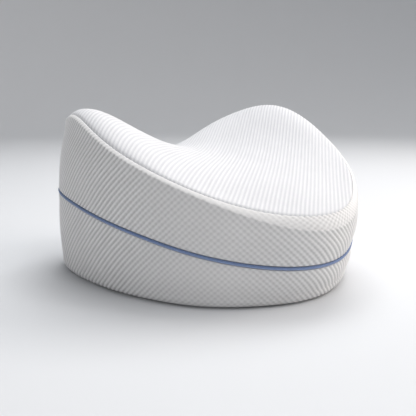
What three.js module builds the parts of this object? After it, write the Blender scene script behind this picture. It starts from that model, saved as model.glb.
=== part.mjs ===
// Knee pillow: a filled saddle cushion with a flat base, two tall lobes, a low nose
// and a trough for the leg between the lobes. Millimetres, +Z up, nose towards -Y.
import * as THREE from 'three';

// Stations along the top seam, from the middle of the nose (turn 0) round to the
// middle of the back (turn 180). The other side of the pillow mirrors them.
const seamStations = [
  { turn: 0, reach: 128, height: 67.5 },
  { turn: 22.5, reach: 122, height: 72.5 },
  { turn: 45, reach: 117, height: 86 },
  { turn: 67.5, reach: 116, height: 104 },
  { turn: 90, reach: 119, height: 125 },
  { turn: 112.5, reach: 124, height: 137 },
  { turn: 135, reach: 129, height: 119 },
  { turn: 157.5, reach: 111, height: 99 },
  { turn: 180, reach: 99, height: 96 },
];

// Stations of the body below the seam: how far the piping and the foot stand out past
// the wall's upper edge.
const bodyStations = [
  { turn: 0, pipingOut: -6, footOut: -12 },
  { turn: 45, pipingOut: -2, footOut: -5 },
  { turn: 90, pipingOut: 1, footOut: -4 },
  { turn: 135, pipingOut: 9, footOut: 9 },
  { turn: 180, pipingOut: 2, footOut: -4 },
];

// Stations of the top: its height halfway from the middle to the seam and three
// quarters of the way.
const topStations = [
  { turn: 0, halfway: 88, outer: 80 },
  { turn: 45, halfway: 96, outer: 93 },
  { turn: 90, halfway: 112, outer: 126 },
  { turn: 135, halfway: 117, outer: 130 },
  { turn: 180, halfway: 105, outer: 103 },
];

// Top panel
const centreHeight = 101;
const centreSlope = -23;
const panelThickness = 3;
const edgeRoll = 2;
const rollStart = 0.965;
const seamDepth = 2.2;

// Shoulder of the upper side panel, just outside the seam: wide at the nose only
const shoulder = { out: 2, down: 1 };
const noseShoulder = { out: 6, down: 9 };
const noseShoulderSharpness = 16;
const wallStart = { out: 1, down: 3 };

// Piping, which runs round the wall on a surface that rises from the nose to the back
const pipingHeight = { nose: 30, side: 62, back: 74 };
const pipingRadius = 1.4;
const pipingInset = 1;
const channelDepth = 2.8;
const channelHalfHeight = 1.8;
const channelLip = 0.6;

// Wall and foot
const upperBulge = 2;
const lowerBulge = 1.5;
const footRadius = 9;

// Clearances
const gap = 0.4;
const partingGap = 0.2;

// Mesh density
const turnSteps = 64;
const pipingSides = 8;
const panelRings = [0.16, 0.32, 0.48, 0.62, 0.74, 0.84, 0.91, 0.97];
const partingRings = [0.5];
const wallSteps = 5;
const footSteps = 3;

// Smooth even function of the turn that passes through one column of a station table.
function throughStations(stations, column) {
  const last = stations.length - 1;
  const waves = stations.map((_, wave) => {
    let sum = 0;
    stations.forEach((station, index) => {
      const share = index === 0 || index === last ? 0.5 : 1;
      sum += share * station[column] * Math.cos((Math.PI * index * wave) / last);
    });
    return ((wave === 0 || wave === last ? 1 : 2) / last) * sum;
  });
  return (turn) => waves.reduce((total, size, wave) => total + size * Math.cos(wave * turn), 0);
}

const seamReach = throughStations(seamStations, 'reach');
const seamHeight = throughStations(seamStations, 'height');
const pipingOut = throughStations(bodyStations, 'pipingOut');
const footOut = throughStations(bodyStations, 'footOut');
const halfwayHeight = throughStations(topStations, 'halfway');
const outerHeight = throughStations(topStations, 'outer');

// A point at a reach from the middle of the plan, in the direction of a turn.
function place(turn, reach, height) {
  return new THREE.Vector3(reach * Math.sin(turn), -reach * Math.cos(turn), height);
}

// Even curve through rises that are given at fractions of the way out.
function throughRises(knots, fraction) {
  return knots.reduce((total, knot) => {
    const others = knots.filter((other) => other !== knot);
    const share = others.reduce(
      (product, other) => (product * (fraction ** 2 - other.at ** 2)) / (knot.at ** 2 - other.at ** 2),
      1,
    );
    return total + knot.rise * share;
  }, 0);
}

// Height of the top at a fraction of the way from the middle to the seam.
function topHeight(turn, fraction) {
  const ramp = (part) => centreHeight + centreSlope * Math.cos(turn) * part;
  const knots = [
    { at: 0, rise: 0 },
    { at: 0.5, rise: halfwayHeight(turn) - ramp(0.5) },
    { at: 0.75, rise: outerHeight(turn) - ramp(0.75) },
    { at: 1, rise: seamHeight(turn) + edgeRoll - ramp(1) },
  ];
  const rolled = Math.max(0, (fraction - rollStart) / (1 - rollStart));
  return ramp(fraction) + throughRises(knots, fraction) - edgeRoll * rolled ** 2;
}

// Height of the surface that carries the piping, at a fraction of the way out.
function partingHeight(turn, fraction) {
  const { nose, side, back } = pipingHeight;
  const nosewards = Math.cos(turn) * fraction;
  return side + ((nose - back) / 2) * nosewards + ((nose + back) / 2 - side) * nosewards ** 2;
}

// Share of the nose's wide shoulder that is left at a turn.
function noseShare(turn) {
  return ((1 + Math.cos(turn)) / 2) ** noseShoulderSharpness;
}

function shoulderOut(turn) {
  return THREE.MathUtils.lerp(shoulder.out, noseShoulder.out, noseShare(turn));
}

function shoulderDown(turn) {
  return THREE.MathUtils.lerp(shoulder.down, noseShoulder.down, noseShare(turn));
}

function wallReach(turn) {
  return seamReach(turn) + shoulderOut(turn) + wallStart.out;
}

function wallHeight(turn) {
  return seamHeight(turn) - shoulderDown(turn) - wallStart.down;
}

function pipingReach(turn) {
  return wallReach(turn) + pipingOut(turn);
}

function footReach(turn) {
  return wallReach(turn) + footOut(turn);
}

// One ring of points round the pillow; reach and height are functions of the turn.
function ring(reach, height) {
  return Array.from({ length: turnSteps }, (_, step) => {
    const turn = (2 * Math.PI * step) / turnSteps;
    return place(turn, reach(turn), height(turn));
  });
}

// Closed solid from rings listed from its bottom pole, out and up, to its top pole.
function solidFromRings(bottomPole, rings, topPole) {
  const count = rings[0].length;
  const points = [bottomPole, ...rings.flat(), topPole];
  const top = points.length - 1;
  const at = (row, step) => 1 + row * count + (step % count);
  const faces = [];
  for (let step = 0; step < count; step += 1) {
    faces.push(0, at(0, step + 1), at(0, step));
    faces.push(top, at(rings.length - 1, step), at(rings.length - 1, step + 1));
    for (let row = 0; row < rings.length - 1; row += 1) {
      faces.push(...splitQuad(points, [
        at(row, step),
        at(row, step + 1),
        at(row + 1, step + 1),
        at(row + 1, step),
      ]));
    }
  }
  return geometryFrom(points, faces);
}

// Two triangles for the four corners of a quad, parted along its shorter diagonal.
function splitQuad(points, [a, b, c, d]) {
  const alongAC = points[a].distanceTo(points[c]) < points[b].distanceTo(points[d]) - 1e-6;
  return alongAC ? [a, b, c, a, c, d] : [a, b, d, b, c, d];
}

function geometryFrom(points, faces) {
  const geometry = new THREE.BufferGeometry();
  geometry.setFromPoints(points);
  geometry.setIndex(faces);
  geometry.computeVertexNormals();
  return geometry;
}

// Wall between two outlines, swelling by a bulge between them.
function wallRings(lower, upper, bulge) {
  return Array.from({ length: wallSteps + 1 }, (_, step) => {
    const part = step / wallSteps;
    return ring(
      (turn) => THREE.MathUtils.lerp(lower.reach(turn), upper.reach(turn), part) + bulge * Math.sin(Math.PI * part),
      (turn) => THREE.MathUtils.lerp(lower.height(turn), upper.height(turn), part),
    );
  });
}

// Surface between the two body parts, from the middle out or back in to it.
function partingRingsAt(offset) {
  return partingRings.map((fraction) => ring(
    (turn) => fraction * pipingReach(turn),
    (turn) => partingHeight(turn, fraction) + offset,
  ));
}

// Lower side panel with its filling: flat base, rounded foot, wall up to the piping channel.
function lowerSide() {
  const channelFloor = (turn) => partingHeight(turn, 1) - channelHalfHeight;
  const foot = Array.from({ length: footSteps + 1 }, (_, step) => {
    const angle = (0.5 * Math.PI * step) / footSteps;
    return ring(
      (turn) => footReach(turn) - footRadius * (1 - Math.sin(angle)),
      () => footRadius * (1 - Math.cos(angle)),
    );
  });
  const wall = wallRings(
    { reach: footReach, height: () => footRadius },
    { reach: pipingReach, height: (turn) => channelFloor(turn) - channelLip },
    lowerBulge,
  );
  const channel = [
    ring((turn) => pipingReach(turn) - channelLip, channelFloor),
    ring((turn) => pipingReach(turn) - channelDepth - gap, channelFloor),
    ring((turn) => pipingReach(turn) - channelDepth - gap, (turn) => partingHeight(turn, 1) - partingGap),
  ];
  const rings = [...foot, ...wall.slice(1), ...channel, ...partingRingsAt(-partingGap)];
  return solidFromRings(place(0, 0, 0), rings, place(0, 0, partingHeight(0, 0) - partingGap));
}

// Upper side panel with its filling, from the piping channel up the wall, over the
// shoulder and down into the seam, then under the top panel.
function upperSide() {
  const channelRoof = (turn) => partingHeight(turn, 1) + channelHalfHeight;
  const channel = [
    ring((turn) => pipingReach(turn) - channelDepth - gap, (turn) => partingHeight(turn, 1) + partingGap),
    ring((turn) => pipingReach(turn) - channelDepth - gap, channelRoof),
    ring((turn) => pipingReach(turn) - channelLip, channelRoof),
  ];
  const wall = wallRings(
    { reach: pipingReach, height: (turn) => channelRoof(turn) + channelLip },
    { reach: wallReach, height: wallHeight },
    upperBulge,
  );
  const shoulderRings = [
    ring((turn) => seamReach(turn) + shoulderOut(turn), (turn) => seamHeight(turn) - shoulderDown(turn)),
    ring(
      (turn) => seamReach(turn) + 0.55 * shoulderOut(turn),
      (turn) => seamHeight(turn) - 0.4 * shoulderDown(turn),
    ),
    ring(seamReach, (turn) => seamHeight(turn) - 0.5),
    ring(seamReach, (turn) => seamHeight(turn) - seamDepth - gap),
    ring((turn) => seamReach(turn) - gap, (turn) => seamHeight(turn) - seamDepth - gap),
  ];
  const underPanel = [...panelRings].reverse().map((fraction) => ring(
    (turn) => fraction * seamReach(turn),
    (turn) => topHeight(turn, fraction) - panelThickness - gap,
  ));
  const rings = [...partingRingsAt(partingGap).reverse(), ...channel, ...wall, ...shoulderRings, ...underPanel];
  return solidFromRings(
    place(0, 0, partingHeight(0, 0) + partingGap),
    rings,
    place(0, 0, centreHeight - panelThickness - gap),
  );
}

// Top panel: one piece of knit over the lobes and the trough, turned down at the seam.
function topPanel() {
  const under = panelRings.map((fraction) => ring(
    (turn) => fraction * seamReach(turn),
    (turn) => topHeight(turn, fraction) - panelThickness,
  ));
  const edge = [
    ring((turn) => seamReach(turn) - gap, (turn) => seamHeight(turn) - seamDepth),
    ring((turn) => seamReach(turn) - gap, seamHeight),
  ];
  const over = [...panelRings].reverse().map((fraction) => ring(
    (turn) => fraction * seamReach(turn),
    (turn) => topHeight(turn, fraction),
  ));
  return solidFromRings(
    place(0, 0, centreHeight - panelThickness),
    [...under, ...edge, ...over],
    place(0, 0, centreHeight),
  );
}

// Piping: a round cord sewn into the channel, closed on itself.
function sidePiping() {
  const points = [];
  const faces = [];
  for (let step = 0; step < turnSteps; step += 1) {
    const turn = (2 * Math.PI * step) / turnSteps;
    for (let side = 0; side < pipingSides; side += 1) {
      const angle = (2 * Math.PI * side) / pipingSides;
      const reach = pipingReach(turn) - pipingInset + pipingRadius * Math.cos(angle);
      points.push(place(turn, reach, partingHeight(turn, 1) + pipingRadius * Math.sin(angle)));
      const here = step * pipingSides;
      const next = ((step + 1) % turnSteps) * pipingSides;
      const beside = (side + 1) % pipingSides;
      faces.push(here + side, next + side, next + beside);
      faces.push(here + side, next + beside, here + beside);
    }
  }
  return geometryFrom(points, faces);
}

function piece(name, geometry, colour, roughness) {
  const material = new THREE.MeshStandardMaterial({ color: colour, roughness, metalness: 0 });
  const mesh = new THREE.Mesh(geometry, material);
  mesh.name = name;
  return mesh;
}

const pillow = new THREE.Group();
pillow.add(piece('lower_side', lowerSide(), 0xe2e1df, 0.92));
pillow.add(piece('side_piping', sidePiping(), 0x4f6690, 0.75));
pillow.add(piece('upper_side', upperSide(), 0xe2e1df, 0.92));
pillow.add(piece('top_panel', topPanel(), 0xf6f7f9, 0.92));

// The origin lies under the middle of the plan, halfway between nose and back.
const plan = new THREE.Box3().setFromObject(pillow);
pillow.position.y = -(plan.min.y + plan.max.y) / 2;

export default pillow;
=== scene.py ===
"""Knee pillow: a filled saddle cushion in a knitted cover.

A ribbed top panel and two side panels with raised stitches are sewn round the filling, with blue piping
between the two side panels. Every outline is a smooth function of the turn round the middle of the plan,
from the nose (turn 0) to the middle of the back (half a turn), and the two sides mirror each other. Sizes
are in millimetres until a mesh is made.
"""

import logging
import math
from collections.abc import Callable
from dataclasses import dataclass, field
from enum import Enum

import bpy
import numpy as np
from mathutils import Matrix, Vector
from mathutils.kdtree import KDTree

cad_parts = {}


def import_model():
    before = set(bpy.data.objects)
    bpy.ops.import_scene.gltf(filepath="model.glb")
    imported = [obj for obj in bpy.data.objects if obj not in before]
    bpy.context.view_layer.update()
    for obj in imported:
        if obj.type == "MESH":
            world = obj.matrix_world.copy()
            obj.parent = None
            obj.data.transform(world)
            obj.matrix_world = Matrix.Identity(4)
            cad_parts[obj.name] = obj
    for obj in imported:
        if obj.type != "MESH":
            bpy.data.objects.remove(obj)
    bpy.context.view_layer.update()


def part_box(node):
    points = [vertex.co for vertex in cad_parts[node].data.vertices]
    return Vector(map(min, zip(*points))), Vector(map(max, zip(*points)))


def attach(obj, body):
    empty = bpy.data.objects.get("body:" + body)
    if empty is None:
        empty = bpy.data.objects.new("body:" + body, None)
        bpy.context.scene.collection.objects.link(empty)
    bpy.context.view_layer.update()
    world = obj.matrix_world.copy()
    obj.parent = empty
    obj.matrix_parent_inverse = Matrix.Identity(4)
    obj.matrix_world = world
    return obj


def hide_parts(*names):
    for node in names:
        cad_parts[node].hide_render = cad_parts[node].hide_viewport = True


LOG = logging.getLogger("knee_pillow")
MM = 0.001
FULL_TURN = 2 * math.pi
BAND_SPACING = FULL_TURN / 20  # distance between the bands of a wave texture at scale 1
THREAD_DEPTH = 0.12

Array = np.ndarray
Triple = tuple[float, float, float]
Colour = tuple[float, float, float, float]
Socket = bpy.types.NodeSocket


class Slot(Enum):
    """Finishes of the pillow, by the name of their slot in the record."""

    TOP_KNIT = "top_knit"
    SIDE_KNIT = "side_knit"
    PIPING_CLOTH = "piping_cloth"


class Edge(Enum):
    """The two ends of a line of a clamped grid."""

    LOW = "low"
    HIGH = "high"


def cosine_waves(stations: tuple[float, ...]) -> Array:
    """Sizes of the cosine waves that pass through evenly spaced stations from nose to back.

    Args:
        stations: values from turn 0 to half a turn, both included.

    Returns:
        One size for each wave, from the constant up.
    """
    last = len(stations) - 1
    index = np.arange(last + 1)
    ends = (index == 0) | (index == last)
    weighted = np.where(ends, 0.5, 1.0) * np.array(stations, float)
    sums = np.cos(np.pi * np.outer(index, index) / last) @ weighted
    return sums * np.where(ends, 1, 2) / last


def along_turn(waves: Array, turn: Array) -> Array:
    """Value of a sum of cosine waves at each turn."""
    return np.cos(np.multiply.outer(np.asarray(turn, float), np.arange(len(waves)))) @ waves


def smooth_step(value: Array | float, start: float, end: float) -> Array:
    """0 before start, 1 after end and a smooth rise between them."""
    part = np.clip((value - start) / (end - start), 0, 1)
    return part * part * (3 - 2 * part)


def between(start: Array | float, end: Array, share: Array | float) -> Array:
    """Value at a share of the way from start to end."""
    return start + (end - start) * share


def even_circle(count: int) -> Array:
    """Evenly spaced turns of one whole turn, from 0."""
    return np.linspace(0, FULL_TURN, count, endpoint=False)


def band(low: Array, high: Array) -> Array:
    """Values at the four corners of each quad between two closed loops of one length."""
    return np.stack([low, np.roll(low, -1), np.roll(high, -1), high], 1)


def point_tree(points: Array) -> KDTree:
    """Search tree over rows of points.

    Args:
        points: one row for each point.

    Returns:
        The balanced tree, which finds the number of a row.
    """
    tree = KDTree(len(points))
    for number, point in enumerate(points):
        tree.insert(point, number)
    tree.balance()
    return tree


def add_object(name: str, data: bpy.types.ID) -> bpy.types.Object:
    """Makes an object and links it into the scene.

    Args:
        name: name of the object.
        data: its mesh, curve, camera or light.

    Returns:
        The object, at the origin.
    """
    made = bpy.data.objects.new(name, data)
    bpy.context.scene.collection.objects.link(made)
    return made


def read_vectors(items: bpy.types.bpy_prop_collection, key: str) -> Array:
    """Reads one vector from each item of a mesh.

    Args:
        items: the mesh's vertices, or their normals.
        key: name of the vector.

    Returns:
        One row for each item.
    """
    values = np.empty(len(items) * 3, np.float32)
    items.foreach_get(key, values)
    return values.reshape(-1, 3).astype(float)


def write_points(mesh: bpy.types.Mesh, points: Array) -> None:
    """Gives the points of a mesh new places in metres."""
    mesh.vertices.foreach_set("co", points.astype(np.float32).ravel())


@dataclass(frozen=True)
class PillowForm:
    """The outlines that all pieces of the pillow share, in millimetres.

    The tables hold one value every 22.5 degrees (seam) or 45 degrees (body) from nose to back.
    """

    seam_reaches: tuple[float, ...] = (128, 122, 117, 116, 119, 124, 129, 111, 99)
    seam_heights: tuple[float, ...] = (67.5, 72.5, 86, 104, 125, 137, 119, 99, 96)
    piping_outs: tuple[float, ...] = (-6, -2, 1, 9, 2)
    foot_outs: tuple[float, ...] = (-12, -5, -4, 9, -4)
    halfway_heights: tuple[float, ...] = (88, 96, 112, 117, 105)
    outer_heights: tuple[float, ...] = (80, 93, 126, 130, 103)
    centre_height: float = 101
    centre_slope: float = -23
    edge_roll: float = 1.1
    roll_start: float = 0.982
    roll_power: float = 2.4
    shoulder_out: float = 2
    shoulder_down: float = 1.6
    nose_shoulder_out: float = 6
    nose_shoulder_down: float = 9
    nose_sharpness: float = 16
    wall_out: float = 1
    wall_down: float = 3
    piping_nose: float = 30
    piping_side: float = 62
    piping_back: float = 74
    foot_radius: float = 9
    base_inset: float = 1
    parting_inset: float = 4
    gap: float = 0.4
    rim_gap: float = 0.15
    plan_shift: float = 11.6
    outline_steps: int = 4096

    def __post_init__(self) -> None:
        """Works out the waves of each station table once."""
        for name, stations in list(vars(self).items()):
            if isinstance(stations, tuple):
                object.__setattr__(self, "_" + name, cosine_waves(stations))

    def seam_reach(self, turn: Array) -> Array:
        """Reach of the top seam from the middle of the plan."""
        return along_turn(self._seam_reaches, turn)

    def rim_reach(self, turn: Array) -> Array:
        """Reach of the top panel's rim, just inside the seam."""
        return self.seam_reach(turn) - self.rim_gap

    def seam_height(self, turn: Array) -> Array:
        """Height of the top seam."""
        return along_turn(self._seam_heights, turn)

    def nose_share(self, turn: Array) -> Array:
        """Share of the nose's wide shoulder that is left at a turn."""
        return ((1 + np.cos(turn)) / 2) ** self.nose_sharpness

    def shoulder(self, turn: Array) -> tuple[Array, Array]:
        """Place of the shoulder's crest beside the seam.

        Args:
            turn: turn of each point.

        Returns:
            How far the crest stands out from the seam, and how far it lies below it.
        """
        share = self.nose_share(turn)
        out = between(self.shoulder_out, self.nose_shoulder_out, share)
        down = between(self.shoulder_down, self.nose_shoulder_down, share)
        return out, down

    def wall_reach(self, turn: Array) -> Array:
        """Reach of the upper edge of the wall."""
        return self.seam_reach(turn) + self.shoulder(turn)[0] + self.wall_out

    def wall_height(self, turn: Array) -> Array:
        """Height of the upper edge of the wall."""
        return self.seam_height(turn) - self.shoulder(turn)[1] - self.wall_down

    def piping_reach(self, turn: Array) -> Array:
        """Reach of the wall at the piping."""
        return self.wall_reach(turn) + along_turn(self._piping_outs, turn)

    def parting_reach(self, turn: Array) -> Array:
        """Reach of the hidden faces behind the piping's channel."""
        return self.piping_reach(turn) - self.parting_inset

    def foot_reach(self, turn: Array) -> Array:
        """Reach of the wall just above the rounded foot."""
        return self.wall_reach(turn) + along_turn(self._foot_outs, turn)

    def base_reach(self, turn: Array) -> Array:
        """Reach of the flat base, just inside the rounded foot."""
        return self.foot_reach(turn) - self.foot_radius - self.base_inset

    def top_height(self, turn: Array, fraction: Array | float) -> Array:
        """Height of the top panel at a fraction of the way from the middle to the seam.

        Args:
            turn: turn of each point.
            fraction: 0 in the middle, 1 at the seam.

        Returns:
            Heights, with the panel's edge rolled down to the seam.
        """
        slope = self.centre_slope * np.cos(turn)
        knots = {
            0.5: along_turn(self._halfway_heights, turn),
            0.75: along_turn(self._outer_heights, turn),
            1.0: self.seam_height(turn) + self.edge_roll,
        }
        height = self.centre_height + slope * fraction
        for at, wanted in knots.items():
            share = (fraction / at) ** 2
            for other in knots.keys() - {at}:
                share = share * (fraction**2 - other**2) / (at**2 - other**2)
            height = height + share * (wanted - self.centre_height - slope * at)
        rolled = np.clip((fraction - self.roll_start) / (1 - self.roll_start), 0, 1)
        return height - self.edge_roll * (1 - np.sqrt(np.clip(1 - rolled**self.roll_power, 0, 1)))

    def parting_height(self, turn: Array, fraction: float = 1) -> Array:
        """Height of the surface that carries the piping.

        Args:
            turn: turn of each point.
            fraction: fraction of the way from the middle out to the piping.

        Returns:
            Heights, lowest at the nose.
        """
        nosewards = np.cos(turn) * fraction
        tilt = (self.piping_nose - self.piping_back) / 2
        bow = (self.piping_nose + self.piping_back) / 2 - self.piping_side
        return self.piping_side + tilt * nosewards + bow * nosewards**2

    def place(self, turn: Array | float, reach: Array | float, height: Array | float) -> Array:
        """Points in the row frame.

        Args:
            turn: turn of each point.
            reach: distance from the middle of the plan in millimetres.
            height: height in millimetres.

        Returns:
            One row for each point, in metres.
        """
        turn, reach, height = np.broadcast_arrays(turn, reach, height)
        plan_y = self.plan_shift - reach * np.cos(turn)
        return np.stack([reach * np.sin(turn), plan_y, height], -1) * MM

    def polar(self, points: Array) -> tuple[Array, Array, Array]:
        """Undoes place.

        Args:
            points: one row for each point, in metres.

        Returns:
            The points' turns, and their reaches and heights in millimetres.
        """
        x, y, z = (points / MM).T
        away = y - self.plan_shift
        return np.arctan2(x, -away) % FULL_TURN, np.hypot(x, away), z

    def even_turns(self, count: int) -> tuple[Array, float]:
        """Turns that part the wall's outline into equal lengths.

        Args:
            count: number of lengths.

        Returns:
            The turns, and the outline's whole length in millimetres.
        """
        fine = np.linspace(0, FULL_TURN, self.outline_steps + 1)
        outline = self.place(fine, self.piping_reach(fine), 0) / MM
        steps = np.linalg.norm(np.diff(outline, axis=0), axis=1)
        length = np.concatenate([[0], np.cumsum(steps)])
        marks = np.linspace(0, length[-1], count, endpoint=False)
        return np.interp(marks, length, fine), float(length[-1])


@dataclass
class Skin:
    """A mesh in the making.

    It holds points in metres, their relief, faces, and each corner's place on the flat cloth in metres.
    """

    points: list[Array] = field(default_factory=list)
    faces: list[Array] = field(default_factory=list)
    cloth: list[Array] = field(default_factory=list)
    relief: list[Array] = field(default_factory=list)
    count: int = 0

    def add_points(self, points: Array, relief: Array | float = 0.5) -> Array:
        """Adds points.

        Args:
            points: one row for each point, in metres.
            relief: 0 down between the stitches to 1 on top of them.

        Returns:
            The numbers of the new points.
        """
        numbers = np.arange(self.count, self.count + len(points))
        self.points.append(points)
        self.relief.append(np.broadcast_to(relief, len(points)).astype(float))
        self.count += len(points)
        return numbers

    def add_faces(self, faces: Array, cloth: Array) -> None:
        """Adds faces of one corner count, each corner with its place on the flat cloth."""
        if len(faces):
            self.faces.append(faces)
            self.cloth.append(cloth)

    def add_hidden(self, faces: Array, flip: bool = False) -> None:
        """Adds faces that hardly show, whose cloth is laid on from above.

        Args:
            faces: the point numbers of each face.
            flip: turns the faces over.
        """
        faces = faces[:, ::-1] if flip else faces
        self.add_faces(faces, np.concatenate(self.points)[faces][..., :2])

    def zip_loops(
        self, outer: Array, outer_turn: Array, inner: Array, inner_turn: Array, flip: bool
    ) -> None:
        """Joins two closed loops of any point counts with triangles.

        Args:
            outer: numbers of one loop's points, in the order of their turns.
            outer_turn: their turns.
            inner: numbers of the other loop's points.
            inner_turn: their turns.
            flip: turns the faces over.
        """
        triangles: list[tuple[int, int, int]] = []
        i = j = 0
        a_count, b_count = len(outer), len(inner)
        while i < a_count or j < b_count:
            next_a = outer_turn[(i + 1) % a_count] + (FULL_TURN if i + 1 >= a_count else 0)
            next_b = inner_turn[(j + 1) % b_count] + (FULL_TURN if j + 1 >= b_count else 0)
            here_a, here_b = outer[i % a_count], inner[j % b_count]
            if j >= b_count or (i < a_count and next_a <= next_b):
                triangles.append((here_a, outer[(i + 1) % a_count], here_b))
                i += 1
            else:
                triangles.append((here_a, inner[(j + 1) % b_count], here_b))
                j += 1
        self.add_hidden(np.array(triangles), flip)

    def cap(self, loop: Array, pole: int, flip: bool) -> None:
        """Closes a loop with a fan of triangles to one point."""
        self.add_hidden(np.stack([loop, np.roll(loop, -1), np.full(len(loop), pole)], 1), flip)

    def to_object(self, name: str) -> bpy.types.Object:
        """Makes the mesh object.

        Args:
            name: name of the mesh and the object.

        Returns:
            The object, with its cloth map and its relief attribute.
        """
        mesh = bpy.data.meshes.new(name)
        points = np.concatenate(self.points)
        corners = np.concatenate([f.ravel() for f in self.faces])
        sizes = np.concatenate([np.full(len(f), f.shape[1]) for f in self.faces])
        mesh.vertices.add(len(points))
        write_points(mesh, points)
        mesh.loops.add(len(corners))
        mesh.loops.foreach_set("vertex_index", corners.astype(np.int32))
        mesh.polygons.add(len(sizes))
        starts = np.concatenate([[0], np.cumsum(sizes)[:-1]])
        mesh.polygons.foreach_set("loop_start", starts.astype(np.int32))
        mesh.polygons.foreach_set("use_smooth", np.ones(len(sizes), bool))
        mesh.update(calc_edges=True)
        mesh.validate()
        cloth = mesh.uv_layers.new(name="cloth")
        flat = np.concatenate([c.reshape(-1, 2) for c in self.cloth])
        cloth.data.foreach_set("uv", flat.astype(np.float32).ravel())
        relief = mesh.attributes.new("relief", "FLOAT", "POINT")
        relief.data.foreach_set("value", np.concatenate(self.relief).astype(np.float32))
        return add_object(name, mesh)


@dataclass
class ClampedGrid:
    """A grid of parallel lines, each clamped between its own low and high end, with points at even steps."""

    low: Array
    high: Array
    step: float
    cyclic: bool
    end_margin: float = 0.35
    least_length: float = 1e-6

    def __post_init__(self) -> None:
        """Numbers the points of each line and lists the faces between the lines."""
        first = math.floor(self.low.min() / self.step)
        last = math.ceil(self.high.max() / self.step)
        rows = np.arange(first, last + 1) * self.step
        margin = self.end_margin * self.step
        low, high = self.low[:, None], self.high[:, None]
        below, above = rows[None] <= low + margin, rows[None] >= high - margin
        inside = ~below & ~above
        closed = self.high - self.low < self.least_length
        counts = inside.sum(1) + np.where(closed, 1, 2)
        starts = np.concatenate([[0], np.cumsum(counts)[:-1]])
        ends = np.where(closed, starts, starts + counts - 1)
        middle = starts[:, None] + np.cumsum(inside, axis=1)
        self.at = np.where(below, starts[:, None], np.where(above, ends[:, None], middle))
        self.loops = {Edge.LOW: starts, Edge.HIGH: ends}
        self.size = int(counts.sum())
        self.line = np.repeat(np.arange(len(self.low)), counts)
        self.value = np.empty(self.size)
        self.value[starts] = self.low
        self.value[ends] = self.high
        lines, columns = np.nonzero(inside)
        self.value[self.at[lines, columns]] = rows[columns]

    def faces(self) -> list[tuple[Array, Array]]:
        """Quads and triangles of the grid.

        Returns:
            Pairs of point numbers and line numbers, one for each corner; the line after the last isn't
            wrapped.
        """
        here = np.arange(len(self.low) if self.cyclic else len(self.low) - 1)
        there = (here + 1) % len(self.low)
        a, d = self.at[here][:, :-1], self.at[here][:, 1:]
        b, c = self.at[there][:, :-1], self.at[there][:, 1:]
        line = np.broadcast_to(here[:, None], a.shape)
        found = []
        for wanted, corners, beyond in (
            ((a != d) & (b != c), (a, b, c, d), (0, 1, 1, 0)),
            ((a == d) & (b != c), (a, b, c), (0, 1, 1)),
            ((a != d) & (b == c), (a, b, d), (0, 1, 0)),
        ):
            numbers = np.stack([x[wanted] for x in corners], 1)
            lines = line[wanted][:, None] + np.array(beyond)[None]
            found.append((numbers, lines))
        return found


def rounded_path(keys: Array, samples: int) -> Array:
    """Smooth path through key points, which may each be an array over the turns.

    Args:
        keys: shape (points, turns, 2).
        samples: number of points wanted on the path.

    Returns:
        Shape (samples, turns, 2), from the first key to the last.
    """
    count = len(keys)
    padded = np.concatenate([2 * keys[:1] - keys[1:2], keys, 2 * keys[-1:] - keys[-2:-1]])
    place = np.linspace(0, count - 1, samples)
    start = np.minimum(place.astype(int), count - 2)
    t = (place - start)[:, None, None]
    p0, p1, p2, p3 = (padded[start + k] for k in range(4))
    square = 2 * p0 - 5 * p1 + 4 * p2 - p3
    cube = 3 * p1 - p0 - 3 * p2 + p3
    return 0.5 * (2 * p1 + (p2 - p0) * t + square * t**2 + cube * t**3)


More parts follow.
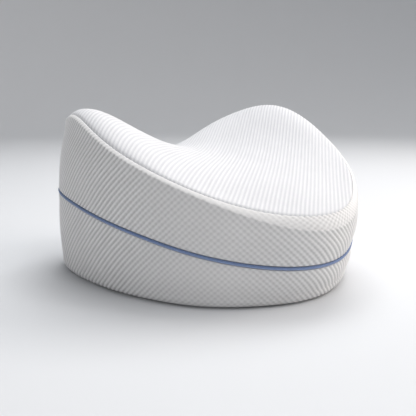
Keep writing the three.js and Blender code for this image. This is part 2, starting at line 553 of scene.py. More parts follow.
@dataclass
class SoftFilling:
    """Foam that presses the cover outwards, while the seam, the piping and the flat base hold it."""

    form: PillowForm
    turns: int = 96
    foot_rings: int = 4
    wall_rings: int = 5
    top_rings: tuple[float, ...] = (1, 0.99, 0.97, 0.94, 0.85, 0.7, 0.5, 0.3, 0.15)
    inset: float = 0.5
    most_swell: float = 2.4
    voxel: float = 5.0
    pressure: float = 6.0
    quality: int = 5
    frames: int = 20
    seam_hold: float = 7.0
    piping_hold: float = 5.0
    base_hold: float = 5.0
    full_hold: float = 0.5
    hold_end: float = 2.0
    smoothing: int = 8
    neighbours: int = 4
    softening: float = 0.5

    def __post_init__(self) -> None:
        self.tree: KDTree | None = None
        self.moves = np.zeros((0, 3))

    def start_mesh(self) -> bpy.types.Object:
        """Body of the pillow without channel or groove.

        Returns:
            A closed mesh object.
        """
        form, turns = self.form, even_circle(self.turns)
        foot, piping, wall = form.foot_reach(turns), form.piping_reach(turns), form.wall_reach(turns)
        parting, upper = form.parting_height(turns), form.wall_height(turns)
        rings = []
        for angle in np.linspace(0, math.pi / 2, self.foot_rings):
            reach = foot - form.foot_radius * (1 - math.sin(angle))
            rings.append(form.place(turns, reach, form.foot_radius * (1 - math.cos(angle))))
        parts = np.linspace(1 / self.wall_rings, 1, self.wall_rings)
        for part in parts:
            height = between(form.foot_radius, parting, part)
            rings.append(form.place(turns, between(foot, piping, part), height))
        for part in parts:
            rings.append(form.place(turns, between(piping, wall, part), between(parting, upper, part)))
        seam = form.seam_reach(turns)
        for fraction in self.top_rings:
            rings.append(form.place(turns, seam * fraction, form.top_height(turns, fraction)))
        skin = Skin()
        numbers = [skin.add_points(ring) for ring in rings]
        bottom = skin.add_points(form.place(0, 0, np.zeros(1)))[0]
        top = skin.add_points(form.place(0, 0, np.full(1, form.centre_height)))[0]
        for low, high in zip(numbers, numbers[1:]):
            skin.add_hidden(band(low, high))
        skin.cap(numbers[0], bottom, flip=True)
        skin.cap(numbers[-1], top, flip=False)
        return skin.to_object("filling")

    def even_cover(self) -> bpy.types.Object:
        """Cover all over the body, with points at even distances.

        Returns:
            A plain mesh object.
        """
        body = self.start_mesh()
        remesh = body.modifiers.new("even_mesh", "REMESH")
        remesh.mode, remesh.voxel_size = "VOXEL", self.voxel * MM
        graph = bpy.context.evaluated_depsgraph_get()
        mesh = bpy.data.meshes.new_from_object(body.evaluated_get(graph))
        bpy.data.objects.remove(body)
        return add_object("filling_cover", mesh)

    def hold(self, points: Array) -> Array:
        """How firmly the seam, the piping or the base holds each point.

        Args:
            points: one row for each point, in metres.

        Returns:
            0 where the cover is free to 1 where it is held.
        """
        form = self.form
        turn, reach, height = form.polar(points)
        seam = np.hypot(reach - form.seam_reach(turn), height - form.seam_height(turn))
        piping = np.hypot(reach - form.piping_reach(turn), height - form.parting_height(turn))
        held = []
        for away, hold in ((seam, self.seam_hold), (piping, self.piping_hold), (height, self.base_hold)):
            held.append(1 - smooth_step(away, self.full_hold * hold, self.hold_end * hold))
        return np.max(held, axis=0)

    def press(self, cover: bpy.types.Object, held: Array) -> Array:
        """Runs the cloth, with air pressure in place of the foam.

        Args:
            cover: the cover, as a closed mesh object.
            held: how firmly each of its points is held.

        Returns:
            The cover's points after the last frame, in metres.
        """
        group = cover.vertex_groups.new(name="sewn")
        for number, weight in enumerate(held):
            group.add([number], float(weight), "REPLACE")
        cloth = cover.modifiers.new("pressed_out", "CLOTH").settings
        cloth.vertex_group_mass = group.name
        cloth.use_pressure = True
        cloth.uniform_pressure_force = self.pressure
        cloth.effector_weights.gravity = 0
        cloth.quality = self.quality
        scene = bpy.context.scene
        for frame in range(1, self.frames + 1):
            scene.frame_set(frame)
        graph = bpy.context.evaluated_depsgraph_get()
        after = read_vectors(cover.evaluated_get(graph).data.vertices, "co")
        scene.frame_set(1)
        return after

    def even_out(self, mesh: bpy.types.Mesh, moves: Array) -> Array:
        """Limits how far the cover's points move, and smooths it over their neighbours.

        Args:
            mesh: the cover's mesh.
            moves: how far each of its points moves, in metres.

        Returns:
            The new moves.
        """
        far = np.linalg.norm(moves, axis=1, keepdims=True)
        moves = moves * np.minimum(1, self.most_swell * MM / np.maximum(far, 1e-9))
        edges = np.array([e.vertices[:] for e in mesh.edges])
        for _ in range(self.smoothing):
            total, number = moves.copy(), np.ones(len(moves))
            for one, other in ((0, 1), (1, 0)):
                np.add.at(total, edges[:, one], moves[edges[:, other]])
                np.add.at(number, edges[:, one], 1)
            moves = total / number[:, None]
        return moves

    def simulate(self) -> None:
        """Finds how far the filling moves each point of the cover."""
        cover = self.even_cover()
        mesh = cover.data
        start = read_vectors(mesh.vertices, "co")
        held = self.hold(start)
        inwards = read_vectors(mesh.vertices, "normal") * self.inset * MM * (1 - held[:, None])
        shrunk = start - inwards
        write_points(mesh, shrunk)
        swell = self.even_out(mesh, self.press(cover, held) - shrunk)
        self.moves = swell - inwards
        self.moves[:, 2] *= smooth_step(start[:, 2] / MM, 0, self.base_hold)
        self.tree = point_tree(start)
        far = np.linalg.norm(swell, axis=1) / MM
        LOG.info("filling: %d points, mean swell %.2f mm, most %.2f mm", len(start), far.mean(), far.max())
        bpy.data.objects.remove(cover)
        bpy.data.meshes.remove(mesh)

    def settle(self, points: Array) -> Array:
        """Moves points of the cover as the filling presses them out.

        Args:
            points: rows of points in metres.

        Returns:
            The moved points, or the same ones when nothing was simulated.
        """
        if self.tree is None:
            return points
        moved = np.empty_like(points)
        for row, point in enumerate(points):
            near = self.tree.find_n(point, self.neighbours)
            weights = np.array([1 / (distance + self.softening * MM) ** 2 for _, _, distance in near])
            numbers = [number for _, number, _ in near]
            moved[row] = point + weights @ self.moves[numbers] / weights.sum()
        return moved


@dataclass(frozen=True)
class SideKnit:
    """Raised stitches of the side panels: upright columns, each half a stitch off its neighbours.

    The stitches run together into slanting ridges, which lean up towards the middle of the front from both
    sides.
    """

    column: float = 2.5
    stitch: float = 4.7
    height: float = 1.0
    fullness: float = 0.85
    slant: float = 1.25
    most_slant: float = 0.85
    level_turn: float = math.radians(-40)
    level_share: float = 0.42

    def relief(self, around: Array, up: Array, columns: int, turn: Array) -> Array:
        """Relief from 0 to 1.

        Args:
            around: share of the whole outline, from 0 to 1.
            up: distance up the wall in millimetres.
            columns: number of columns in the whole outline, an even number.
            turn: turn round the pillow.

        Returns:
            Up to 1 on top of a stitch and down to 0 between stitches, and less of both where they lie level.
        """
        lean = np.clip(self.slant * np.sin(turn - self.level_turn), -self.most_slant, self.most_slant)
        across, along = np.pi * columns * around, FULL_TURN * up / self.stitch
        wave = (1 + lean) * np.cos(across + along) + (1 - lean) * np.cos(across - along)
        share = self.level_share + (1 - self.level_share) * (lean / self.most_slant) ** 2
        return 0.5 + share * ((0.5 + 0.25 * wave) ** self.fullness - 0.5)


@dataclass(frozen=True)
class TopKnit:
    """Straight ribs of the top panel, which run askew from one side of the nose to the other lobe."""

    rib: float = 3.12
    heading: float = 40.9
    height: float = 0.31
    fullness: float = 0.9

    def relief(self, across: Array) -> Array:
        """Relief from 0 between two ribs to 1 on a rib, from the distance across the ribs in millimetres; it
        also sets the painted shade between the ribs.
        """
        return (0.5 + 0.5 * np.cos(FULL_TURN * across / self.rib)) ** self.fullness


def raise_relief(piece: bpy.types.Object, lift: Array) -> None:
    """Moves each point of a mesh along its normal.

    Args:
        piece: the mesh object.
        lift: distance for each point in millimetres.
    """
    mesh = piece.data
    normals = read_vectors(mesh.vertex_normals, "vector")
    write_points(mesh, read_vectors(mesh.vertices, "co") + normals * lift[:, None] * MM)
    mesh.update()


class NodeTree:
    """Short way to fill a node tree."""

    def __init__(self, tree: bpy.types.NodeTree) -> None:
        """Keeps the tree that the nodes go into."""
        self.tree = tree

    def node(self, kind: str, inputs: dict | None = None, **settings: object) -> bpy.types.Node:
        """Adds a node.

        Args:
            kind: Blender's name of the node's type.
            inputs: values or sockets for its inputs, by name or number.
            settings: its own settings.

        Returns:
            The node.
        """
        node = self.tree.nodes.new(kind)
        for name, value in settings.items():
            setattr(node, name, value)
        for name, value in (inputs or {}).items():
            if isinstance(value, Socket):
                self.link(value, node.inputs[name])
            else:
                node.inputs[name].default_value = value
        return node

    def link(self, source: Socket, target: Socket) -> None:
        """Joins two sockets."""
        self.tree.links.new(source, target)


class Shading(NodeTree):
    """Node tree of one material."""

    def __init__(self, name: str) -> None:
        """Starts an empty tree with a shader and an output.

        Args:
            name: name of the material.
        """
        self.material = bpy.data.materials.new(name)
        self.material.use_nodes = True
        super().__init__(self.material.node_tree)
        self.tree.nodes.clear()
        self.shader = self.node("ShaderNodeBsdfPrincipled")
        output = self.node("ShaderNodeOutputMaterial")
        self.link(self.shader.outputs["BSDF"], output.inputs["Surface"])

    def cloth(self) -> Socket:
        """Place on the flat cloth."""
        return self.node("ShaderNodeUVMap", uv_map="cloth").outputs["UV"]

    def place(self) -> Socket:
        """Place in the row frame."""
        return self.node("ShaderNodeTexCoord").outputs["Object"]

    def plus(self, first: object, second: object) -> Socket:
        """Sum of two numbers or sockets."""
        return self.node("ShaderNodeMath", {0: first, 1: second}, operation="ADD").outputs[0]

    def times(self, first: object, second: object) -> Socket:
        """Product of two numbers or sockets."""
        return self.node("ShaderNodeMath", {0: first, 1: second}, operation="MULTIPLY").outputs[0]

    def brighten(self, colour: Socket, level: Socket) -> Socket:
        """Product of a colour and a number."""
        return self.node("ShaderNodeVectorMath", {0: colour, "Scale": level}, operation="SCALE").outputs[0]

    def mix(self, share: Socket, first: Colour, second: Colour) -> Socket:
        """Blend of two colours."""
        inputs = {"Factor": share, 6: first, 7: second}
        return self.node("ShaderNodeMix", inputs, data_type="RGBA").outputs[2]

    def rise(self, value: Socket, start: float, end: float) -> Socket:
        """Smooth rise from 0 at start to 1 at end."""
        inputs = {"Value": value, 1: start, 2: end}
        return self.node("ShaderNodeMapRange", inputs, interpolation_type="SMOOTHSTEP").outputs[0]

    def noise(self, place: Socket, scale: float, detail: float = 2.0, roughness: float = 0.5) -> Socket:
        """Noise from 0 to 1, with so many spots to the metre."""
        inputs = {"Vector": place, "Scale": scale, "Detail": detail, "Roughness": roughness}
        return self.node("ShaderNodeTexNoise", inputs).outputs["Fac"]

    def bands(self, place: Socket, spacing: float, direction: str, inputs: dict) -> Socket:
        """Soft bands from 0 to 1.

        Args:
            place: place that the bands lie on.
            spacing: distance between bands in millimetres.
            direction: Blender's name of the direction that they follow each other in.
            inputs: how they are distorted, by the name of the input.

        Returns:
            The bands' height.
        """
        inputs = {"Vector": place, "Scale": BAND_SPACING / (spacing * MM), **inputs}
        node = self.node("ShaderNodeTexWave", inputs, wave_type="BANDS", bands_direction=direction)
        return node.outputs["Fac"]

    def set_shader(self, values: dict[str, object]) -> bpy.types.Material:
        """Sets or joins inputs of the shader.

        Args:
            values: values or sockets by the name of the input.

        Returns:
            The material.
        """
        for name, value in values.items():
            if isinstance(value, Socket):
                self.link(value, self.shader.inputs[name])
            else:
                self.shader.inputs[name].default_value = value
        return self.material

    def bump(self, height: Socket, strength: float) -> Socket:
        """Normals of threads of a given height."""
        inputs = {"Height": height, "Strength": strength, "Distance": THREAD_DEPTH * MM}
        return self.node("ShaderNodeBump", inputs).outputs[0]


@dataclass(frozen=True)
class KnitFinish:
    """Matt knitted polyester, painted a little darker between the stitches as painted shade."""

    slot: Slot
    yarn: Colour
    # Colour painted down between the stitches, as painted shade.
    furrow: Colour
    dark_below: float = 0.05
    light_above: float = 1.0
    mottle_scale: float = 38.0
    fleck_scale: float = 900.0
    fuzz_scale: float = 2600.0
    unevenness: float = 0.07
    strand: float = 1.086
    strand_angle: float = 0.6
    strand_height: float = 0.6
    fuzz_height: float = 0.25
    roughness: float = 0.92
    sheen: float = 0.25
    shine: float = 0.25

    def make(self) -> bpy.types.Material:
        """Builds the material.

        Returns:
            The material, which reads the cloth map, the relief attribute and Object coordinates.
        """
        shading = Shading(self.slot.value)
        place = shading.place()
        relief = shading.node("ShaderNodeAttribute", attribute_name="relief").outputs["Fac"]
        # Painted shade: the colour darkens down between the stitches, where the relief is low; on top of
        # them it is the yarn's own colour.
        tone = shading.rise(relief, self.dark_below, self.light_above)
        mottle = shading.times(shading.noise(place, self.mottle_scale, 3.0, 0.6), self.unevenness)
        fleck = shading.times(shading.noise(place, self.fleck_scale), self.unevenness)
        level = shading.plus(shading.plus(mottle, fleck), 1 - self.unevenness)
        turned = {"Vector": shading.cloth(), "Rotation": (0, 0, self.strand_angle)}
        turned = shading.node("ShaderNodeMapping", turned).outputs[0]
        unsteady = {"Distortion": 1.5, "Detail": 2.0, "Detail Scale": 3.0}
        strands = shading.times(shading.bands(turned, self.strand, "X", unsteady), self.strand_height)
        fuzz = shading.times(shading.noise(place, self.fuzz_scale), self.fuzz_height)
        values = {
            "Base Color": shading.brighten(shading.mix(tone, self.furrow, self.yarn), level),
            "Normal": shading.bump(shading.plus(strands, fuzz), 0.5),
            "Roughness": self.roughness,
            "Sheen Weight": self.sheen,
            "Sheen Roughness": 0.5,
            "Specular IOR Level": self.shine,
        }
        return shading.set_shader(values)


@dataclass(frozen=True)
class PipingFinish:
    """Blue woven tape over the cord, painted darker above as painted shade under the channel's roof, and
    lighter below.
    """

    slot: Slot
    # Colours of the cord's upper and lower halves; the darker upper one is painted shade.
    upper: Colour = (0.16, 0.23, 0.41, 1)
    lower: Colour = (0.25, 0.33, 0.54, 1)
    dark_to: float = 0.42
    light_from: float = 0.62
    fleck_scale: float = 500.0
    unevenness: float = 0.3
    thread: float = 0.987
    roughness: float = 0.7
    sheen: float = 0.15

    def make(self) -> bpy.types.Material:
        """Builds the material.

        Returns:
            The material, which reads Object coordinates and the cloth map: how far down on the cord.
        """
        shading = Shading(self.slot.value)
        place = shading.place()
        down = shading.node("ShaderNodeSeparateXYZ", {0: shading.cloth()}).outputs[1]
        # Painted shade: the upper half of the cord is darker, where the channel's roof shades it.
        colour = shading.mix(shading.rise(down, self.dark_to, self.light_from), self.upper, self.lower)
        fleck = shading.times(shading.noise(place, self.fleck_scale, 3.0), self.unevenness)
        level = shading.plus(fleck, 1 - self.unevenness / 2)
        threads = shading.bands(place, self.thread, "DIAGONAL", {"Distortion": 0.6})
        values = {
            "Base Color": shading.brighten(colour, level),
            "Normal": shading.bump(threads, 0.4),
            "Roughness": self.roughness,
            "Sheen Weight": self.sheen,
        }
        return shading.set_shader(values)


@dataclass
class CoverPanel:
    """What the sewn panels share: the form, the filling under them and a finish."""

    form: PillowForm
    filling: SoftFilling
    finish: bpy.types.Material
    slot: Slot = Slot.SIDE_KNIT
    fill: float = 0.95
    inside_turns: int = 96
    inside_rings: tuple[float, ...] = (0.94, 0.8, 0.6, 0.4, 0.2)

    def close_inside(
        self,
        skin: Skin,
        loop: Array,
        turns: Array,
        reach: Callable,
        height: Callable,
        rise: float,
        flip: bool,
    ) -> None:
        """Closes a panel on its hidden side with a few coarse rings.

        Args:
            skin: the panel's skin, which gets the faces.
            loop: numbers of its last loop, in the order of their turns.
            turns: their turns.
            reach: gives the reach of the hidden side's edge at turns.
            height: gives the height at turns and a fraction of the way out.
            rise: how far the hidden side lies above that height.
            flip: turns the faces over.
        """
        coarse = even_circle(self.inside_turns)
        before, before_turns = loop, turns
        for fraction in self.inside_rings:
            points = self.form.place(coarse, fraction * reach(coarse), height(coarse, fraction) + rise)
            ring = skin.add_points(points)
            skin.zip_loops(before, before_turns, ring, coarse, flip)
            before, before_turns = ring, coarse
        pole = skin.add_points(self.form.place(0, 0, height(np.zeros(1), 0.0) + rise))[0]
        skin.cap(before, pole, flip)

    def dress(self, skin: Skin, name: str, node: str, lift: Array) -> bpy.types.Object:
        """Makes a panel's mesh and gives it its relief, its finish and its place in the frame.

        Args:
            skin: the panel's skin, before the filling presses it out.
            name: name of the new piece.
            node: the CAD node that it stands for.
            lift: how far its first points are raised, in millimetres; all others stay where they are.

        Returns:
            The finished piece.
        """
        skin.points = [self.filling.settle(np.concatenate(skin.points))]
        piece = skin.to_object(name)
        raise_relief(piece, np.pad(lift, (0, skin.count - len(lift))))
        piece.data.materials.append(self.finish)
        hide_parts(node)
        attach(piece, "root")
        return piece


@dataclass
class TopPanel(CoverPanel):
    """Ribbed panel over the lobes and the trough, rolled down at the seam."""

    slot: Slot = Slot.TOP_KNIT
    fill: float = 0.9
    knit: TopKnit = field(default_factory=TopKnit)
    thickness: float = 3
    rim_samples: int = 8192
    rim_drops: tuple[float, ...] = (0.5, 1, 1.6, 2.2)
    # Low relief paints the rim down in the seam groove with most of the painted shade between the stitches.
    rim_relief: float = 0.2
    flat_from: float = 0.97
    flat_share: float = 0.6
    samples_per_rib: int = 6
    line_margin: float = 0.3
    step: float = 1.5

    def rib_grid(self) -> tuple[ClampedGrid, Array, Array]:
        """Lines along the ribs from rim to rim, with points at even steps.

        Returns:
            The grid, the place of each line across the ribs, and the grid's points in plan. The two are in
            millimetres from the middle.
        """
        heading = math.radians(self.knit.heading)
        along = np.array([math.cos(heading), math.sin(heading)])
        across = np.array([-along[1], along[0]])
        turns = even_circle(self.rim_samples)
        rim = self.form.rim_reach(turns)
        outline = np.stack([rim * np.sin(turns), -rim * np.cos(turns)], 1)
        u, v = outline @ along, outline @ across
        spacing = self.knit.rib / self.samples_per_rib
        first = math.ceil(v.min() / spacing + self.line_margin)
        last = math.floor(v.max() / spacing - self.line_margin)
        lines = np.concatenate([[v.min()], np.arange(first, last + 1) * spacing, [v.max()]])
        top, bottom = int(v.argmax()), int(v.argmin())
        one = np.arange(bottom, bottom + (top - bottom) % len(v) + 1) % len(v)
        other = np.arange(top, top + (bottom - top) % len(v) + 1)[::-1] % len(v)
        ends = np.stack([np.interp(lines, v[side], u[side]) for side in (one, other)])
        grid = ClampedGrid(ends.min(0), ends.max(0), self.step, cyclic=False)
        return grid, lines, grid.value[:, None] * along + lines[grid.line][:, None] * across

    def build(self) -> bpy.types.Object:
        """Builds the panel with its ribs as real relief.

        Returns:
            The finished piece.
        """
        form = self.form
        grid, lines, plan = self.rib_grid()
        turn, reach = np.arctan2(plan[:, 0], -plan[:, 1]) % FULL_TURN, np.hypot(*plan.T)
        fraction = np.clip(reach / form.rim_reach(turn), 0, 1)
        skin = Skin()
        relief = self.knit.relief(lines[grid.line])
        skin.add_points(form.place(turn, reach, form.top_height(turn, fraction)), relief)
        for numbers, line in grid.faces():
            flat = np.stack([grid.value[numbers], lines[line]], -1) * MM
            skin.add_faces(numbers[:, ::-1], flat[:, ::-1])
        loop = np.unique(np.concatenate([grid.loops[Edge.LOW], grid.loops[Edge.HIGH]]))
        loop = loop[np.argsort(turn[loop])]
        turns = turn[loop]
        for drop in self.rim_drops:
            rim = form.place(turns, form.rim_reach(turns), form.seam_height(turns) - drop)
            lower = skin.add_points(rim, self.rim_relief)
            skin.add_hidden(band(lower, loop))
            loop = lower
        self.close_inside(skin, loop, turns, form.seam_reach, form.top_height, -self.thickness, flip=True)
        fade = 1 - self.flat_share * smooth_step(fraction, self.flat_from, 1)
        return self.dress(skin, "top_cover", "top_panel", self.knit.height * (relief - 0.5) * fade)


@dataclass
class SidePanel(CoverPanel):
    """What the two side panels share: the columns of stitches round the wall, and a lip of the channel."""

    knit: SideKnit = field(default_factory=SideKnit)
    samples_per_column: int = 4
    samples_per_stitch: int = 5
    channel_depth: float = 2.8
    channel_half: float = 1.35
    lip: float = 0.5
    # Low relief paints the channel's lips round the piping with most of the painted shade between the
    # stitches.
    lip_relief: float = 0.3
    parting_gap: float = 0.2

    def __post_init__(self) -> None:
        """Spaces the lines of the grid evenly round the wall."""
        length = self.form.even_turns(1)[1]
        self.columns = 2 * round(length / self.knit.column / 2)
        self.turns, self.length = self.form.even_turns(self.columns * self.samples_per_column)
        self.share = np.arange(len(self.turns)) / len(self.turns)
        self.piping = self.form.piping_reach(self.turns)
        self.parting = self.form.parting_height(self.turns)

    def wall_grid(self, low: Array, high: Array) -> ClampedGrid:
        """Grid of the wall, with a line at each turn and values that go up the cloth."""
        return ClampedGrid(low, high, self.knit.stitch / self.samples_per_stitch, cyclic=True)

    def start_wall(self, grid: ClampedGrid, reach: Array, height: Array) -> tuple[Skin, Array]:
        """Starts the panel's skin with its wall.

        Args:
            grid: the wall's grid.
            reach: reach of its points in millimetres.
            height: height of its points in millimetres.

        Returns:
            The skin, in which the grid's points come first, and their relief.
        """
        skin, turn = Skin(), self.turns[grid.line]
        relief = self.knit.relief(self.share[grid.line], grid.value, self.columns, turn)
        skin.add_points(self.form.place(turn, reach, height), relief)
        for numbers, line in grid.faces():
            flat = np.stack([line / len(self.turns) * self.length, grid.value[numbers]], -1) * MM
            skin.add_faces(numbers, flat)
        return skin, relief

    def join_loops(self, skin: Skin, loops: list[Array], ups: list[Array]) -> None:
        """Joins loops of points that lie on the same turns.

        Args:
            skin: the panel's skin, which gets the faces.
            loops: numbers of each loop's points, from the lowest loop up.
            ups: distance of each loop's points up the cloth, in millimetres.
        """
        here = np.arange(len(self.turns))
        around = np.stack([here, here + 1, here + 1, here], 1) / len(here) * self.length
        for low, high, low_up, high_up in zip(loops, loops[1:], ups, ups[1:]):
            skin.add_faces(band(low, high), np.stack([around, band(low_up, high_up)], -1) * MM)

    def channel_lip(self, skin: Skin, face: Array, up: Array, side: int) -> tuple[list[Array], list[Array]]:
        """Adds the points of one lip of the channel.

        Args:
            skin: the panel's skin, which gets the points.
            face: height of the lip's face towards the piping, in millimetres.
            up: how far up the cloth that face starts.
            side: 1 above the piping, -1 below it.

        Returns:
            Numbers of the points of each loop from the wall inwards, and how far up the cloth they are.
        """
        inner = -self.channel_depth - self.form.gap
        rounded = [(-0.12, 0.25), (-0.5, 0.05), (-1.6, 0)]
        loops, ups = [], []
        for out, rise in (*rounded, (inner, 0), (inner, self.parting_gap - self.channel_half)):
            points = self.form.place(self.turns, self.piping + out, face + side * rise)
            loops.append(skin.add_points(points, self.lip_relief))
            ups.append(up + side * out)
        return loops, ups

    def close_parting(self, skin: Skin, loop: Array, side: int) -> None:
        """Closes the panel towards the other side panel.

        Args:
            skin: the panel's skin.
            loop: numbers of the channel's innermost loop.
            side: 1 above the piping, -1 below it.
        """
        form, rise = self.form, side * self.parting_gap
        self.close_inside(skin, loop, self.turns, form.parting_reach, form.parting_height, rise, side > 0)


@dataclass
class UpperSide(SidePanel):
    """Side panel from the piping up the wall, over the shoulder and down into the seam."""

    bulge: float = 2
    samples_per_stitch: int = 6
    shoulder_rows: int = 19
    # Rows and share over which the bead's stitches flatten away from the nose; the same share lightens the
    # bead's paint there, as painted light.
    fade_rows: tuple[int, int] = (4, 9)
    fade_share: float = 0.72
    plain_rows: int = 3
    seam_depth: float = 2.6
    top_thickness: float = 3.4

    def build(self) -> bpy.types.Object:
        """Builds the panel with its stitches as real relief.

        Returns:
            The finished piece.
        """
        form, turns = self.form, self.turns
        roof, wall = self.parting + self.channel_half, form.wall_reach(turns)
        grid = self.wall_grid(roof + self.lip, form.wall_height(turns))
        line = grid.line
        part = (grid.value - grid.low[line]) / (grid.high - grid.low)[line]
        reach = self.piping[line] + (wall - self.piping)[line] * part + self.bulge * np.sin(np.pi * part)
        skin, relief = self.start_wall(grid, reach, grid.value)
        lifts = [self.knit.height * (relief - 0.5)]
        path = rounded_path(self.shoulder_keys(), self.shoulder_rows)
        loops, ups = [grid.loops[Edge.HIGH]], [grid.high]
        for row in range(1, self.shoulder_rows):
            ups.append(ups[-1] + np.hypot(*(path[row] - path[row - 1]).T))
            knit = self.knit.relief(self.share, ups[-1], self.columns, turns)
            faded = self.fade_share * smooth_step(row, *self.fade_rows)
            fade = 1 - faded * (1 - form.nose_share(turns))
            # The relief attribute goes up towards 1 where the stitches fade, so the bead loses its painted
            # shade between the stitches and paints lighter, as painted light.
            loops.append(skin.add_points(form.place(turns, *path[row].T), 1 - fade * (1 - knit)))
            raised = row < self.shoulder_rows - self.plain_rows
            lifts.append(self.knit.height * (knit - 0.5) * fade * raised)
        self.join_loops(skin, loops, ups)
        lip, lip_ups = self.channel_lip(skin, roof, roof, side=1)
        self.join_loops(skin, [*lip[::-1], grid.loops[Edge.LOW]], [*lip_ups[::-1], grid.low])
        rise = -self.top_thickness
        self.close_inside(skin, loops[-1], turns, form.seam_reach, form.top_height, rise, flip=False)
        self.close_parting(skin, lip[-1], side=1)
        return self.dress(skin, "upper_side_cover", "upper_side", np.concatenate(lifts))

    def shoulder_keys(self) -> Array:
        """Key points of the shoulder, from the wall's upper edge over the bead into the seam.

        Returns:
            Reaches and heights, in the shape (points, turns, 2).
        """
        form, turns = self.form, self.turns
        reach, height = form.seam_reach(turns), form.seam_height(turns)
        out, down = form.shoulder(turns)
        keys = [
            (form.wall_reach(turns), form.wall_height(turns)),
            (reach + out + 0.95, height - down - 1.5),
            (reach + out + 0.75, height - down - 0.4),
            (reach + 0.5 * out + 0.6, height - 0.45 * down),
            (reach + 0.35, height + 0.15),
            (reach + 0.1, height - 0.7),
            (reach, height - self.seam_depth),
        ]
        return np.moveaxis(np.array(keys), 1, 2)


@dataclass
class LowerSide(SidePanel):
    """Side panel from the flat base round the foot and up to the piping, with the base itself."""

    bulge: float = 1.5
    rest_height: float = 2.5
    # The flat base's relief gives it part of the painted shade between the stitches.
    base_relief: float = 0.4

    def build(self) -> bpy.types.Object:
        """Builds the panel with its stitches as real relief.

        Returns:
            The finished piece.
        """
        form, turns, radius = self.form, self.turns, self.form.foot_radius
        floor, foot = self.parting - self.channel_half, form.foot_reach(turns)
        bend = radius * math.pi / 2
        grid = self.wall_grid(np.zeros(len(turns)), bend + floor - self.lip - radius)
        line = grid.line
        angle = np.clip(grid.value / radius, 0, math.pi / 2)
        part = np.clip((grid.value - bend) / (grid.high - bend)[line], 0, 1)
        reach = foot[line] - radius * (1 - np.sin(angle))
        reach = reach + (self.piping - foot)[line] * part + self.bulge * np.sin(np.pi * part)
        height = np.where(grid.value < bend, radius * (1 - np.cos(angle)), radius + grid.value - bend)
        skin, relief = self.start_wall(grid, reach, height)
        lip, lip_ups = self.channel_lip(skin, floor, grid.high, side=-1)
        self.join_loops(skin, [grid.loops[Edge.HIGH], *lip], [grid.high, *lip_ups])
        base = skin.add_points(form.place(turns, form.base_reach(turns), 0), self.base_relief)
        self.join_loops(skin, [base, grid.loops[Edge.LOW]], [grid.low - form.base_inset, grid.low])
        level = lambda turn, fraction: np.zeros_like(turn)
        self.close_inside(skin, base, turns, form.base_reach, level, rise=0, flip=True)
        self.close_parting(skin, lip[-1], side=-1)
        rested = smooth_step(height, 0, self.rest_height)
        return self.dress(skin, "lower_side_cover", "lower_side", self.knit.height * (relief - 0.5) * rested)


class SweptTree(NodeTree):
    """A geometry node tree with named inputs, made into a plain mesh on a path."""

    def __init__(self, name: str) -> None:
        """Starts a tree with a geometry input and output.

        Args:
            name: name of the tree.
        """
        super().__init__(bpy.data.node_groups.new(name, "GeometryNodeTree"))
        self.tree.interface.new_socket("Path", in_out="INPUT", socket_type="NodeSocketGeometry")
        self.tree.interface.new_socket("Mesh", in_out="OUTPUT", socket_type="NodeSocketGeometry")
        self.sizes: dict[str, str] = {}
        self.start = self.node("NodeGroupInput")
        self.end = self.node("NodeGroupOutput")

    def size(self, name: str, kind: str) -> None:
        """Adds a named input and keeps its identifier."""
        self.sizes[name] = self.tree.interface.new_socket(name, in_out="INPUT", socket_type=kind).identifier

    def finish(self, geometry: Socket) -> None:
        """Ends the tree in Realize Instances and Set Material.

        Args:
            geometry: the finished geometry.
        """
        real = self.node("GeometryNodeRealizeInstances", {"Geometry": geometry})
        inputs = {"Geometry": real.outputs[0], "Material": self.start.outputs["Finish"]}
        dressed = self.node("GeometryNodeSetMaterial", inputs)
        self.link(dressed.outputs[0], self.end.inputs[0])

    def to_piece(self, name: str, path: Array, sizes: dict[str, object]) -> bpy.types.Object:
        """Runs the tree on a closed path.

        Args:
            name: name of the new piece.
            path: points of the closed path in metres.
            sizes: value of each named input.

        Returns:
            A plain mesh object.
        """
        curve = bpy.data.curves.new(name + "_path", "CURVE")
        curve.dimensions = "3D"
        spline = curve.splines.new("POLY")
        spline.points.add(len(path) - 1)
        weighted = np.column_stack([path, np.ones(len(path))])
        spline.points.foreach_set("co", weighted.astype(np.float32).ravel())
        spline.use_cyclic_u = True
        holder = add_object(name + "_path", curve)
        nodes = holder.modifiers.new(name, "NODES")
        nodes.node_group = self.tree
        for key, value in sizes.items():
            nodes[self.sizes[key]] = value
        graph = bpy.context.evaluated_depsgraph_get()
        graph.update()
        mesh = bpy.data.meshes.new_from_object(holder.evaluated_get(graph))
        mesh.name = name
        bpy.data.objects.remove(holder)
        bpy.data.curves.remove(curve)
        mesh.polygons.foreach_set("use_smooth", np.ones(len(mesh.polygons), bool))
        return add_object(name, mesh)


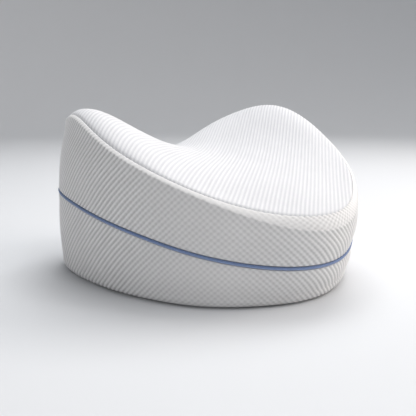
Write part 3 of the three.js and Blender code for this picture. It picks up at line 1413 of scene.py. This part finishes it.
@dataclass
class SidePiping:
    """Blue piping in the channel between the two side panels."""

    form: PillowForm
    filling: SoftFilling
    finish: bpy.types.Material
    radius: float = 1.15
    inset: float = 0.2
    steps: int = 480
    sides: int = 16

    def tree(self) -> SweptTree:
        """Tree that sweeps a round section along the path.

        Returns:
            The tree, with inputs for the section's radius and sides and for the finish.
        """
        swept = SweptTree("piping_sweep")
        swept.size("Radius", "NodeSocketFloat")
        swept.size("Sides", "NodeSocketInt")
        swept.size("Finish", "NodeSocketMaterial")
        inputs = swept.start.outputs
        section = {"Resolution": inputs["Sides"], "Radius": inputs["Radius"]}
        circle = swept.node("GeometryNodeCurvePrimitiveCircle", section)
        curves = {"Curve": inputs["Path"], "Profile Curve": circle.outputs[0]}
        swept.finish(swept.node("GeometryNodeCurveToMesh", curves).outputs[0])
        return swept

    def build(self) -> bpy.types.Object:
        """Builds the piping.

        Returns:
            The finished piece.
        """
        turns = even_circle(self.steps)
        reach = self.form.piping_reach(turns) - self.inset
        path = self.filling.settle(self.form.place(turns, reach, self.form.parting_height(turns)))
        sizes = {"Radius": self.radius * MM, "Sides": self.sides, "Finish": self.finish}
        piece = self.tree().to_piece("side_piping_cord", path, sizes)
        self.map_cloth(piece, path)
        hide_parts("side_piping")
        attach(piece, "root")
        return piece

    def map_cloth(self, piece: bpy.types.Object, path: Array) -> None:
        """Stores for each corner how far up (0) or down (1) its point lies on the cord.

        Args:
            piece: the swept mesh.
            path: the cord's middle line in metres.
        """
        mesh = piece.data
        points = read_vectors(mesh.vertices, "co")
        tree = point_tree(path)
        middle = np.array([path[tree.find(p)[1]] for p in points])
        # How far down the cord: the finish paints the upper half darker from it, as painted shade.
        down = 0.5 - 0.5 * (points[:, 2] - middle[:, 2]) / (self.radius * MM)
        corners = np.empty(len(mesh.loops), np.int32)
        mesh.loops.foreach_get("vertex_index", corners)
        flat = np.stack([points[corners, 0], down[corners]], 1)
        layer = mesh.uv_layers.new(name="cloth")
        layer.data.foreach_set("uv", flat.astype(np.float32).ravel())


@dataclass(frozen=True)
class SoftLight:
    """A square area light that faces the pillow, in metres."""

    name: str
    place: Triple
    size: float
    power: float
    tint: Triple
    target: Triple = (0, 0, 0.07)

    def build(self) -> None:
        """Adds the light."""
        data = bpy.data.lights.new(self.name, "AREA")
        data.energy, data.size, data.color = self.power, self.size, self.tint
        lamp = add_object(self.name, data)
        lamp.location = self.place
        ahead = Vector(self.target) - Vector(self.place)
        lamp.rotation_euler = ahead.to_track_quat("-Z", "Y").to_euler()


@dataclass
class Studio:
    """Camera at the photograph's angle, soft lights and a plain pale floor that curves up all round.

    The camera's sizes are in millimetres, its angles in radians, its frame and aimed point in pixels and its
    scale in pixels for each millimetre. The floor's sizes are in metres.
    """

    form: PillowForm
    distance: float = 500
    elevation: float = 0.193
    heading: float = 0.684
    aim_height: float = 60
    aim_pixel: tuple[float, float] = (217.6, 198.9)
    frame: float = 416
    scale: float = 1.1
    sensor: float = 36
    near: float = 10
    far: float = 20000
    floor_rings: tuple[float, ...] = (0.3, 0.8, 1.2, 1.6)
    floor_turns: int = 96
    bend_radius: float = 0.7
    bend_steps: int = 13
    backdrop_height: float = 2.2
    floor_colour: Colour = (0.72, 0.73, 0.745, 1)
    floor_roughness: float = 0.8
    sky_colour: Colour = (0.95, 0.97, 1, 1)
    sky_strength: float = 0.32
    lights: tuple[SoftLight, ...] = (
        SoftLight("overhead", (0.40, 0.30, 1.30), 0.9, 13.0, (0.985, 0.99, 1)),
        SoftLight("front_high", (0.20, -0.60, 1.40), 0.8, 8.2, (1, 0.99, 0.985)),
        SoftLight("right_low", (1.20, -0.60, 0.45), 0.6, 7.8, (1, 0.91, 0.84)),
    )

    def camera(self) -> None:
        """Places the camera so that the aimed point falls on its pixel."""
        sin_e, cos_e = math.sin(self.elevation), math.cos(self.elevation)
        sin_h, cos_h = math.sin(self.heading), math.cos(self.heading)
        right = Vector((cos_h, -sin_h, 0))
        forward = Vector((sin_h * cos_e, cos_h * cos_e, -sin_e))
        up = right.cross(forward)
        data = bpy.data.cameras.new("camera")
        data.sensor_width = self.sensor
        data.lens = self.sensor * self.scale * self.distance / self.frame
        data.shift_x = (self.frame / 2 - self.aim_pixel[0]) / self.frame
        data.shift_y = (self.aim_pixel[1] - self.frame / 2) / self.frame
        data.clip_start, data.clip_end = self.near * MM, self.far * MM
        camera = add_object("camera", data)
        aim = Vector((0, self.form.plan_shift, self.aim_height))
        axes = Matrix((right, up, -forward)).transposed().to_4x4()
        camera.matrix_world = Matrix.Translation((aim - forward * self.distance) * MM) @ axes
        bpy.context.scene.camera = camera

    def floor(self) -> None:
        """Builds the floor, which bends up into a round backdrop."""
        turns, edge = even_circle(self.floor_turns), self.floor_rings[-1]
        profile = [(reach, 0) for reach in self.floor_rings]
        for angle in np.linspace(0, math.pi / 2, self.bend_steps + 1)[1:]:
            reach = edge + self.bend_radius * math.sin(angle)
            profile.append((reach, self.bend_radius * (1 - math.cos(angle))))
        profile.append((edge + self.bend_radius, self.backdrop_height))
        skin, rings = Skin(), []
        for reach, height in profile:
            points = [reach * np.cos(turns), reach * np.sin(turns), np.full_like(turns, height)]
            rings.append(skin.add_points(np.stack(points, 1)))
        middle = skin.add_points(np.zeros((1, 3)))[0]
        for inner, outer in zip(rings, rings[1:]):
            skin.add_hidden(band(outer, inner)[:, [3, 0, 1, 2]])
        skin.cap(rings[0], middle, flip=False)
        floor = skin.to_object("floor")
        values = {"Base Color": self.floor_colour, "Roughness": self.floor_roughness}
        floor.data.materials.append(Shading("pale_floor").set_shader(values))

    def build(self) -> None:
        """Builds camera, floor and lights, and sets the plain colour view."""
        self.camera()
        self.floor()
        for light in self.lights:
            light.build()
        world = bpy.data.worlds.new("studio")
        world.use_nodes = True
        sky = world.node_tree.nodes["Background"].inputs
        sky["Color"].default_value = self.sky_colour
        sky["Strength"].default_value = self.sky_strength
        bpy.context.scene.world = world
        bpy.context.scene.view_settings.view_transform = "Standard"


def main() -> None:
    """Builds the pillow round the frame, piece by piece."""
    logging.basicConfig(level=logging.INFO, format="%(message)s")
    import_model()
    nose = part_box("top_panel")[0].y / MM
    plain = PillowForm()
    form = PillowForm(plan_shift=nose + float(plain.seam_reach(np.zeros(1))[0]) - plain.gap)
    Studio(form).build()
    filling = SoftFilling(form)
    filling.simulate()
    # Both panels are one white yarn, painted darker on the top and lighter on the sides to even out the
    # strong light on the top and the shade on the walls. The second colour of each is the painted shade
    # between the stitches.
    top_knit = KnitFinish(Slot.TOP_KNIT, yarn=(0.76, 0.76, 0.77, 1), furrow=(0.635, 0.635, 0.655, 1))
    side_knit = KnitFinish(Slot.SIDE_KNIT, yarn=(0.905, 0.893, 0.883, 1), furrow=(0.605, 0.595, 0.588, 1))
    top_cloth, side_cloth = top_knit.make(), side_knit.make()
    for maker in (
        LowerSide(form, filling, side_cloth),
        UpperSide(form, filling, side_cloth),
        TopPanel(form, filling, top_cloth),
        SidePiping(form, filling, PipingFinish(Slot.PIPING_CLOTH).make()),
    ):
        piece = maker.build()
        triangles = sum(len(p.vertices) - 2 for p in piece.data.polygons)
        LOG.info("%s: %d triangles", piece.name, triangles)


if __name__ == "__main__":
    main()
